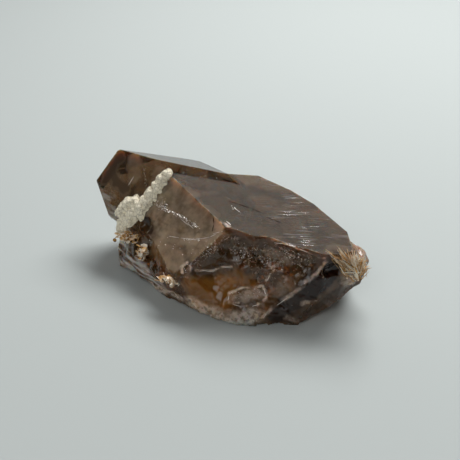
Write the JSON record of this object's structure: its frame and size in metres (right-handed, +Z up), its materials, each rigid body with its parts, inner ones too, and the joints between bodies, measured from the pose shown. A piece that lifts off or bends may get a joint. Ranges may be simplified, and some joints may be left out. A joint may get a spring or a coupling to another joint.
{
  "type": "smoky quartz crystal",
  "caption": "Broken cluster of smoky quartz crystals with flat glossy faces, a feldspar seam and tufts of golden mica, lying on a flat resting face.",
  "frame": {"origin": "under the middle of the specimen's outline, on the surface it rests on", "axes": "+Z up, +X along the specimen's length towards the end with the mica tuft, -Y towards the broken front"},
  "size_m": [0.0678, 0.0424, 0.0272],
  "materials": {
    "smoky_quartz": "clear brown quartz, glossy crystal faces and conchoidal breaks",
    "feldspar": "rough cream crystalline crust",
    "golden_mica": "pearly golden flakes and blades"
  },
  "bodies": {
    "root": {"quartz_crystal": "smoky_quartz", "feldspar_seam": "feldspar", "mica_tuft": "golden_mica", "mica_flakes_upper": "golden_mica", "mica_flakes_middle": "golden_mica", "mica_flakes_lower": "golden_mica"}
  },
  "joints": []
}
